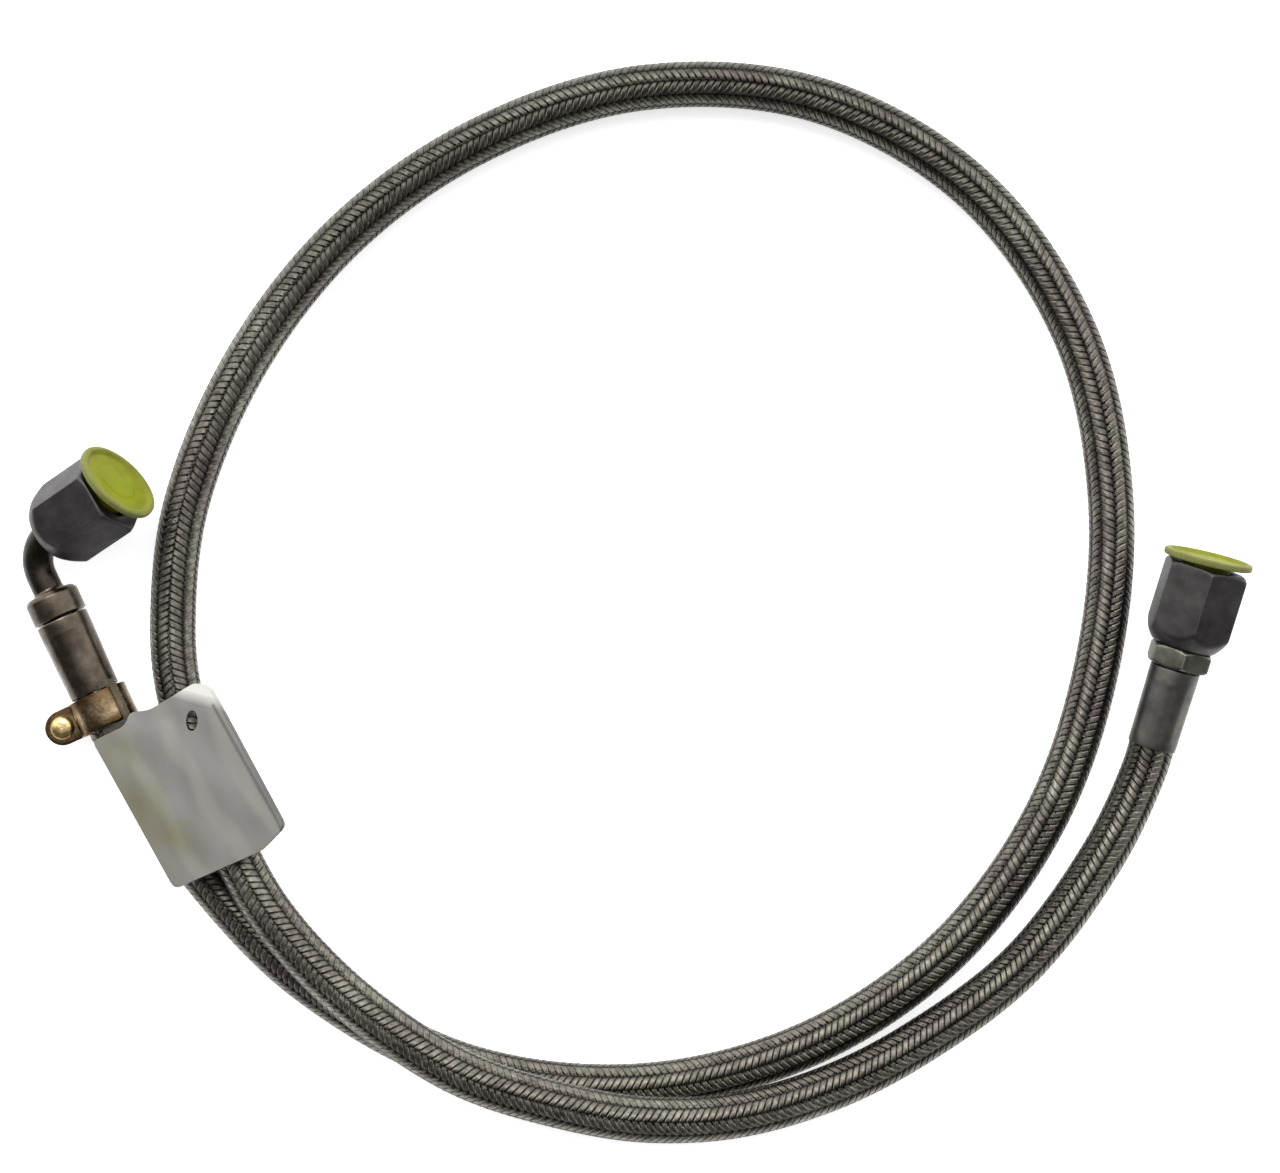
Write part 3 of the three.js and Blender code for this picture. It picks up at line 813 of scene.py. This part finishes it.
def swivel_nut(name, place, flat_up, material, body, node):
    around = 192
    angle = np.arange(around) * TAU / around
    side = hex_radius(angle, NUT_FLATS - 0.1, flat_up)
    corner = (side - side.min()) / (side.max() - side.min())
    rows, edge = [], []

    def add_row(radius, height, wear):
        z = np.full(around, height)
        rows.append(np.stack([radius * np.cos(angle), radius * np.sin(angle), z], -1))
        edge.append(np.clip(wear, 0, 1))

    back = [0.0, 0.15, 0.45]
    mouth = NUT_LENGTH - np.array([1.4, 1.0, 0.6, 0.25, 0.05, 0.0])
    for height in (*back, *np.arange(1, NUT_LENGTH - 1.6, 0.7), *mouth):
        near_end = min(height, NUT_LENGTH - height)
        drop = max(0, 0.35 - near_end)
        radius = soft_min(side, nut_envelope(height), 0.5) - 0.8 * drop
        worn = corner**6 + 0.8 * max(0, 1 - (NUT_LENGTH - height) / 1.2)
        add_row(radius, height, worn)
    thread_start = NUT_SHOULDER + 1.2
    inner = np.arange(NUT_LENGTH - 0.4, thread_start, -THREAD_PITCH / 6)
    add_row(np.full(around, NUT_THREAD_BORE + 1.6), NUT_LENGTH, np.full(around, 0.6))
    for height in inner:
        fade = min(1, (NUT_LENGTH - height) / 2, (height - thread_start) / 2)
        phase = TAU * height / THREAD_PITCH - angle
        widened = max(0, 1.2 - (NUT_LENGTH - height)) * 0.9
        add_row(NUT_THREAD_BORE - 0.1 + widened + 0.3 * fade * np.cos(phase), height, 0 * angle)
    for radius, height in (
        (NUT_THREAD_BORE, thread_start),
        (NUT_THREAD_BORE, NUT_SHOULDER),
        (NUT_BACK_BORE + 0.2, NUT_SHOULDER),
        (NUT_BACK_BORE, NUT_SHOULDER - 0.2),
        (NUT_BACK_BORE, 0.3),
        (NUT_BACK_BORE + 0.3, 0),
    ):
        add_row(np.full(around, radius), height, 0 * angle)
    points, faces = loft(rows)
    obj = mesh_object(name, points, faces, place, sharp=28, edge=np.concatenate(edge))
    return add_piece(obj, material, "dark_steel", body, node)


def cone_seat(name, through_bore, place, material, body, node):
    outline = [
        (TUBE_OUTER + 0.1, NIPPLE_BACK),
        (8.8, NIPPLE_BACK),
        (8.8, 12.4),
        (6.9, 12.4),
        (6.9, 14.7),
        (7.6, 14.7),
        (6.0, 17),
        (through_bore, 17),
        (through_bore, NIPPLE_SOCKET),
        (TUBE_OUTER + 0.1, NIPPLE_SOCKET),
    ]
    profile = rounded(outline, 0.2, 2)
    points, faces = loft(turned_rows(profile, 72))
    obj = mesh_object(name, points, faces, place, edge=np.zeros(len(points)))
    return add_piece(obj, material, "bright_steel", body, node)


def seal_ring(name, place, material, body, node):
    sides = 16
    profile = [
        (8.0 + 0.78 * math.cos(k * TAU / sides), 13.55 + 0.78 * math.sin(k * TAU / sides))
        for k in range(sides)
    ]
    points, faces = loft(turned_rows(profile, 72))
    obj = mesh_object(name, points, faces, place, sharp=80)
    return add_piece(obj, material, "seal", body, node)


def plug_place(nut_place, fit):
    """The plug isn't pushed home: it leans in the mouth and stands off it."""
    lean, lift = fit
    pivot = Matrix.Translation((0, 0, NUT_LENGTH - PLUG_PIVOT))
    turn = Matrix.Rotation(-math.radians(lean), 4, "Y")
    return nut_place @ pivot @ turn @ Matrix.Translation((0, 0, PLUG_PIVOT + lift))


def plug(name, place, material, body, node):
    """A hollow ribbed stem under a wide dished flange; height 0 is the flange's underside."""
    stem_end = -9.4
    outline = [(0.05, -1.2), (7.2, -1.2), (6.3, stem_end), (7.3, stem_end)]
    for rib in (-7.4, -5.2, -3.0):
        stem = 7.3 + 0.13 * (rib - stem_end)
        outline += [(stem, rib - 0.5), (stem + 0.15, rib), (stem, rib + 0.5)]
    outline += [
        (8.4, -1.0),
        (8.5, 0),
        (FLANGE_RADIUS - 0.3, 0),
        (FLANGE_RADIUS, 0.5),
        (FLANGE_RADIUS, 1.9),
        (FLANGE_RADIUS - 0.6, 2.4),
        (13.6, 2.4),
        (12.4, 1.2),
        (7.2, 1.05),
        (6.6, 1.3),
        (0.05, 1.35),
    ]
    profile = split_long(rounded(outline, 0.4, 3), 1.0)
    points, faces = loft(turned_rows(profile, 120))
    radial = np.repeat([min(1.0, r / FLANGE_RADIUS) for r, _ in profile], 120)
    obj = mesh_object(name, points, faces, place, radial=radial)
    return add_piece(obj, material, "plug", body, node)


# ---------------------------------------------------------------- brass band
def smooth_path(points, rounds):
    """Corner cutting on an open path, which keeps its two ends."""
    path = np.array(points, float)
    for _ in range(rounds):
        near = 0.75 * path[:-1] + 0.25 * path[1:]
        far = 0.25 * path[:-1] + 0.75 * path[1:]
        middle = np.stack([near, far], 1).reshape(-1, 2)
        path = np.vstack([path[:1], middle, path[-1:]])
    return path


def brass_band(material):
    """A strip bent round the hose, its rounded ends lying together as a tab along local -X."""
    middle = (BAND_INNER + BAND_OUTER) / 2
    thick = (BAND_OUTER - BAND_INNER) / 2 - 0.02
    leaf = 0.6
    start = math.pi - math.asin(leaf / middle)
    ring = [
        (middle * math.cos(a), middle * math.sin(a)) for a in np.linspace(start, -start, 90)
    ]
    straight = [(x, leaf) for x in np.linspace(TAB_END, -middle - 0.6, 24)]
    path = smooth_path([*straight, *ring, *[(x, -y) for x, y in straight[::-1]]], 1)
    steps = np.linalg.norm(np.diff(path, axis=0), axis=1)
    reach = np.concatenate([[0], np.cumsum(steps)])
    from_end = np.minimum(reach, reach[-1] - reach)
    tangent = np.gradient(path, axis=0)
    tangent /= np.linalg.norm(tangent, axis=1)[:, None]
    normal = np.stack([-tangent[:, 1], tangent[:, 0]], -1)
    tab = BAND_WIDTH / 2
    inside = np.clip(tab - from_end, 0, tab * 0.995)
    half_width = np.sqrt(tab**2 - inside**2)
    section = [(-1, -0.55), (-0.97, -0.9), (-0.9, -1), (-0.5, -1), (0, -1)]
    section += [(0.5, -1), (0.9, -1), (0.97, -0.9)]
    section += [(-w, -t) for w, t in section]
    rows, edge = [], []
    for point, side, width, inset in zip(path, normal, half_width, inside):
        row = []
        for w, t in section:
            flat = point + side * t * thick
            row.append((flat[0], flat[1], BAND_START + tab + w * width))
            # Mask for the painted shade towards the band's edges and rounded ends.
            edge.append(max(abs(w) * width, math.hypot(inset, w * width)) / tab)
        rows.append(row)
    points, faces = loft(rows, closed=False)
    obj = mesh_object("brass_band", points, faces, BAND, sharp=50, edge=edge)
    return add_piece(obj, material, "brass", "hose", "clip_band")


def rivet(material):
    outline = [
        (0.05, -RIVET_HEAD - 0.95),
        (3.0, -RIVET_HEAD - 0.9),
        (3.6, -RIVET_HEAD),
        (2.2, -RIVET_HEAD + 0.1),
        (2.2, RIVET_HEAD - 0.1),
        (4.2, RIVET_HEAD),
        (4.1, RIVET_HEAD + 0.5),
        (3.4, RIVET_HEAD + 1.2),
        (2.2, RIVET_HEAD + 1.65),
        (0.05, RIVET_HEAD + 1.85),
    ]
    profile = rounded(outline, 0.4, 4)
    upright = Matrix.Translation((TAB_END + BAND_WIDTH / 2, 0, BAND_START + BAND_WIDTH / 2))
    place = BAND @ upright @ Matrix.Rotation(-math.pi / 2, 4, "X")
    points, faces = loft(turned_rows(profile, 64))
    # Mask for the painted shade towards the rim of the rivet's heads.
    edge = np.repeat([(r / 4.2) ** 2 * 0.75 for r, _ in profile], 64)
    obj = mesh_object("band_rivet", points, faces, place, sharp=50, edge=edge)
    return add_piece(obj, material, "brass", "hose", "clip_rivet")


# ---------------------------------------------------------------- label pouch
POUCH_OUTLINE = [
    (-22.0, 28.0),
    (-9.5, 27.2),
    (-6.2, 30.6),
    (0.0, 27.8),
    (18.6, 28.4),
    (22.8, 24.4),
    (22.0, -30.6),
    (10.4, -34.0),
    (-21.8, -30.6),
]
CARD_OUTLINE = [(-20.4, 20), (19.4, 10), (19.4, -29), (-20.4, -29)]
HOLE_CENTRE = (11.1, 17.2)
HOLE_RADII = (2.0, 3.6)
HOLE_TURN = math.radians(-30)
LAYER_SHADE_X = 20.0
LAYER_SHADE_WIDTH = 0.55


def outline_loop(corners, radius, count):
    """Points round a rounded outline, evenly spaced by distance along it."""
    curve = np.array(rounded(corners, radius, 6))
    closed = np.vstack([curve, curve[:1]])
    reach = np.concatenate([[0], np.cumsum(np.linalg.norm(np.diff(closed, axis=0), axis=1))])
    at = np.linspace(0, reach[-1], count, endpoint=False)
    return np.stack([np.interp(at, reach, closed[:, k]) for k in range(2)], -1)


def sheet_height(x, y):
    """A soft film is never flat: low ripples along it, dying out towards its edges."""
    inside = np.clip((22.5 - np.abs(x)) / 8, 0, 1) * np.clip((30 - np.abs(y)) / 8, 0, 1)
    ripple = np.sin(x * 0.31 + 0.5) * np.cos(y * 0.13 - 0.4) + 0.5 * np.sin(x * 0.62 - y * 0.21)
    return 0.16 * inside * ripple


def film_sheet(name, corners, bottom, material, node):
    """A film with the punched hole, drawn in rings between its outline and the hole."""
    outer = outline_loop(corners, 2.2, 160)[::-1]
    centre = np.array(HOLE_CENTRE)
    bearing = np.arctan2(outer[:, 1] - centre[1], outer[:, 0] - centre[0]) - HOLE_TURN
    wide = np.outer(np.cos(bearing), (math.cos(HOLE_TURN), math.sin(HOLE_TURN)))
    tall = np.outer(np.sin(bearing), (-math.sin(HOLE_TURN), math.cos(HOLE_TURN)))
    hole = centre + HOLE_RADII[0] * wide + HOLE_RADII[1] * tall
    shares = np.concatenate([[0, 0.012, 0.03, 0.06], np.linspace(0.1, 0.97, 26), [1]])
    rows = []
    for level, order in ((bottom + SHEET, shares), (bottom, shares[::-1])):
        for share in order:
            flat = outer + share * (hole - outer)
            z = level + sheet_height(flat[:, 0], flat[:, 1])
            rows.append(np.column_stack([flat, z]))
    points, faces = loft(rows)
    x, y, _ = points.T
    across = np.clip((x + 22.2) / 44.4, 0, 1)
    # Mask for the painted highlight at one corner.
    corner = np.clip((x + y - 34.5) / 8.0, 0, 1)
    # Mask for the painted dark line of shade along an inner layer's edge.
    seam = np.exp(-(((x - LAYER_SHADE_X) / LAYER_SHADE_WIDTH) ** 2)) * (y < 19)
    obj = mesh_object(
        name, points, faces, POUCH, sharp=50, across=across, corner=corner, seam=seam
    )
    return add_piece(obj, material, "clear_plastic", "tag", node)


def label_card(material):
    outer = outline_loop(CARD_OUTLINE, 1.0, 120)[::-1]
    centre = np.array([0.0, -6.0])
    rows = []
    bottom = SHEET / 2 + CARD_LIFT
    shares = np.linspace(0, 0.999, 14)
    for level, order in ((bottom, shares[::-1]), (bottom + CARD_THICKNESS, shares)):
        for share in order:
            flat = outer + share * (centre - outer)
            z = level + sheet_height(flat[:, 0], flat[:, 1])
            rows.append(np.column_stack([flat, z]))
    points, faces = loft(rows, closed=False)
    across = (points[:, 0] + 20.4) / 39.8
    obj = mesh_object("form_card", points, faces, POUCH, sharp=50, across=across)
    return add_piece(obj, material, "card", "tag", "label_card")


def build_pouch(looks):
    front = [(x - 1 if x > 20 else x, y) for x, y in POUCH_OUTLINE]
    film_sheet("pouch_back_film", POUCH_OUTLINE, -SHEET / 2, looks["back_film"], "pouch_back")
    label_card(looks["card"])
    level = SHEET / 2 + FRONT_LIFT
    film_sheet("pouch_front_film", front, level, looks["front_film"], "pouch_front")
    dress_node("tag_strap", looks["strap"])


# ---------------------------------------------------------------- surroundings
def add_floor():
    size = 3.0
    points = [(-size, -size, 0), (size, -size, 0), (size, size, 0), (-size, size, 0)]
    floor = mesh_object("floor", points, [[0, 1, 2, 3]])
    look = Look("pale_floor", Roughness=0.9, Emission_Color=(1, 1, 1, 1), Emission_Strength=0.7)
    look.set("Base Color", look.ramp(look.noise(4), (0.3, 0.88), (0.7, 0.90)))
    floor.data.materials.append(look.material)


def add_light(name, position, target, size, power):
    data = bpy.data.lights.new(name, "AREA")
    data.shape = "RECTANGLE"
    data.size, data.size_y = size
    data.energy = power
    light = bpy.data.objects.new(name, data)
    light.location = position
    direction = Vector(target) - Vector(position)
    light.rotation_euler = direction.to_track_quat("-Z", "Y").to_euler()
    bpy.context.scene.collection.objects.link(light)


def add_world():
    """Soft light, bright on the side that the camera's top faces and dim on the other."""
    world = bpy.data.worlds.new("studio")
    world.use_nodes = True
    nodes, links = world.node_tree.nodes, world.node_tree.links
    nodes["Background"].inputs["Color"].default_value = (1, 1, 1, 1)
    split = nodes.new("ShaderNodeSeparateXYZ")
    links.new(nodes.new("ShaderNodeTexCoord").outputs["Generated"], split.inputs["Vector"])
    ramp = nodes.new("ShaderNodeMapRange")
    ramp.interpolation_type = "SMOOTHSTEP"
    ramp.inputs["From Min"].default_value = -0.25
    ramp.inputs["From Max"].default_value = 0.45
    ramp.inputs["To Min"].default_value = 0.15
    ramp.inputs["To Max"].default_value = 2.2
    links.new(split.outputs["Y"], ramp.inputs["Value"])
    links.new(ramp.outputs["Result"], nodes["Background"].inputs["Strength"])
    bpy.context.scene.world = world


def add_surroundings():
    add_floor()
    add_world()
    add_light("key_light", (-0.5, 1.5, 2.6), (0, 0, 0), (1.2, 0.8), 34)
    bpy.context.scene.view_settings.view_transform = "Standard"


# ---------------------------------------------------------------- assembly
def make_looks():
    return {
        "braid": braid_look(),
        "liner": liner_look(),
        "seal": seal_look(),
        "plug": plug_look(),
        "brass": brass_look(
            "edge_shaded_brass", (0.30, 0.19, 0.07), (0.62, 0.45, 0.19), (0.92, 0.76, 0.44)
        ),
        "dull_brass": brass_look(
            "dull_brass", (0.105, 0.068, 0.032), (0.205, 0.145, 0.082), (0.33, 0.25, 0.175)
        ),
        "card": card_look(),
        "braid_end": metal_look("crimped_braid", (0.10,) * 3, (0.16,) * 3, (0.22,) * 3, 0.5, 400),
        "warm_steel": metal_look(
            "warm_steel", (0.046, 0.037, 0.029), (0.088, 0.072, 0.055), (0.140, 0.118, 0.093),
            0.28, 110, (0.19, 0.163, 0.132),
        ),
        "grey_steel": metal_look(
            "grey_steel", (0.078, 0.078, 0.062), (0.132, 0.132, 0.108), (0.195, 0.195, 0.165),
            0.42, 140, (0.21, 0.21, 0.185),
        ),
        "sleeve_steel": metal_look(
            "sleeve_steel", (0.086, 0.074, 0.078), (0.118, 0.112, 0.104), (0.158, 0.158, 0.136),
            0.45, 120,
        ),
        # Painted shade: the bent tube is a darker copy of the collar's warm steel.
        "shaded_tube_steel": metal_look(
            "shaded_tube_steel", (0.019, 0.015, 0.012), (0.036, 0.030, 0.025), (0.060, 0.051, 0.043),
            0.30, 110,
        ),
        "bright_steel": metal_look(
            "bright_steel", (0.25, 0.24, 0.22), (0.35, 0.34, 0.32), (0.45, 0.44, 0.42), 0.3, 140,
        ),
        "dark_steel": metal_look(
            "dark_steel", (0.040, 0.036, 0.034), (0.062, 0.058, 0.058), (0.095, 0.088, 0.088),
            0.48, 90, (0.078, 0.073, 0.072),
        ),
        "back_film": film_look(
            "pouch_back_film", 0.94, (0.126, 0.122, 0.110), (0.108, 0.104, 0.052)
        ),
        "front_film": film_look(
            "pouch_front_film", 0.88, (0.156, 0.150, 0.134), (0.114, 0.108, 0.050)
        ),
        "strap": film_look("strap_film", 0.5, (0.11, 0.095, 0.065), (0.095, 0.082, 0.05)),
    }


def build_nut_end(prefix, place, flat_up, bore, fit, looks):
    """The nut, its seat and seal, and the plug; returns the nut and the plug."""
    node = f"{prefix}_nut"
    nut = swivel_nut(f"{prefix}_swivel_nut", place, flat_up, looks["dark_steel"], node, node)
    cone_seat(f"{prefix}_cone_seat", bore, place, looks["bright_steel"], "hose", f"{prefix}_nipple")
    seal_ring(f"{prefix}_seal_ring", place, looks["seal"], "hose", f"{prefix}_o_ring")
    node = f"{prefix}_plug"
    cap = plug(f"{prefix}_mouth_plug", plug_place(place, fit), looks["plug"], node, node)
    return [nut, cap]


def build_elbow_end(looks):
    warm = looks["warm_steel"]
    crimped_sleeve(
        "elbow_sleeve",
        ELBOW_FERRULE,
        ELBOW_FERRULE_RADII,
        ELBOW,
        warm,
        "warm_steel",
        "elbow_ferrule",
    )
    elbow_insert(warm)
    elbow_tube(looks["shaded_tube_steel"])
    braze_ring(warm)
    build_nut_end("elbow", ELBOW_NUT, True, TUBE_INNER, ELBOW_PLUG_FIT, looks)


def build_straight_end(looks):
    """Returns the sleeve, the insert, the nut and the plug."""
    sleeve = crimped_sleeve(
        "straight_sleeve",
        STRAIGHT_FERRULE,
        STRAIGHT_FERRULE_RADII,
        STRAIGHT,
        looks["sleeve_steel"],
        "grey_steel",
        "straight_ferrule",
    )
    insert = straight_insert(looks["grey_steel"])
    nut_and_plug = build_nut_end(
        "straight", STRAIGHT_NUT_PLACE, False, TAIL_BORE, STRAIGHT_PLUG_FIT, looks
    )
    return [sleeve, insert, *nut_and_plug]


add_camera()
looks = make_looks()
liner, hose_path, braids = build_hose(looks)
build_elbow_end(looks)
far_fitting = build_straight_end(looks)
brass_band(looks["dull_brass"])
rivet(looks["brass"])
build_pouch(looks)
add_surroundings()
